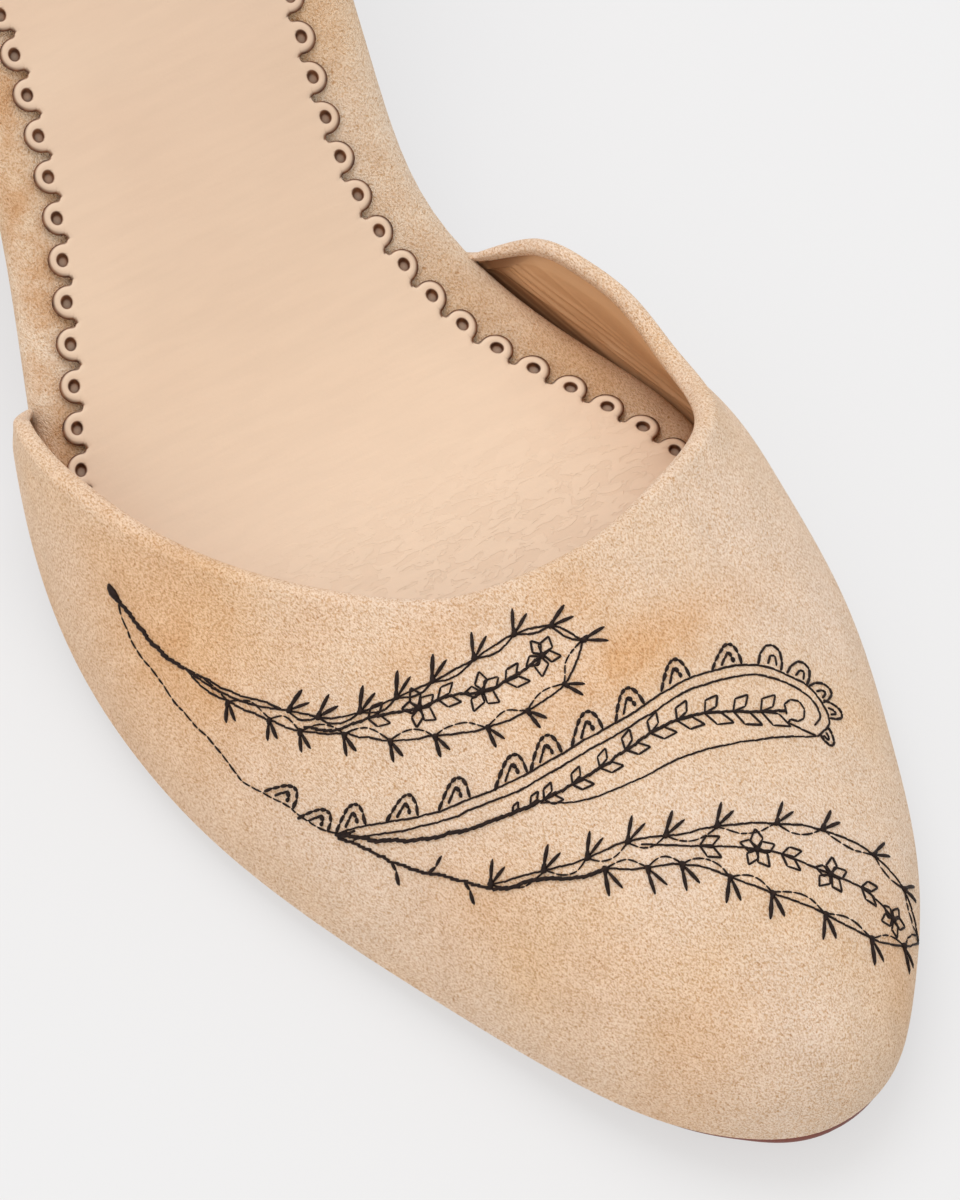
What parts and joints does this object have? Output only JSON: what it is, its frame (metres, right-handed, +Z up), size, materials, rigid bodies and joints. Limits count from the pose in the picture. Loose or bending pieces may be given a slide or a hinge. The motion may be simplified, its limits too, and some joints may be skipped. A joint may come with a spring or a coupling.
{
  "type": "pump",
  "caption": "Right two-piece suede pump with a closed almond toe, open waist, closed heel cup and slim covered block heel.",
  "frame": {"origin": "middle of the footprint box, on the plane that the sole and the heel stand on", "axes": "+Y runs from toe to heel, +X is the big-toe (medial) side, +Z is up"},
  "size_m": [0.08, 0.2374, 0.1101],
  "materials": {
    "suede": "soft brushed suede, matt",
    "sock_leather": "smooth lining leather, low sheen",
    "sole_leather": "brick-brown dyed edge, satin",
    "heel_cover": "soft brushed suede, matt",
    "top_piece_rubber": "matt"
  },
  "bodies": {
    "root": {"outsole": "sole_leather", "footbed": "suede", "sock": "sock_leather", "vamp": "suede", "counter": "suede", "heel": "heel_cover", "top_piece": "top_piece_rubber"}
  },
  "joints": []
}
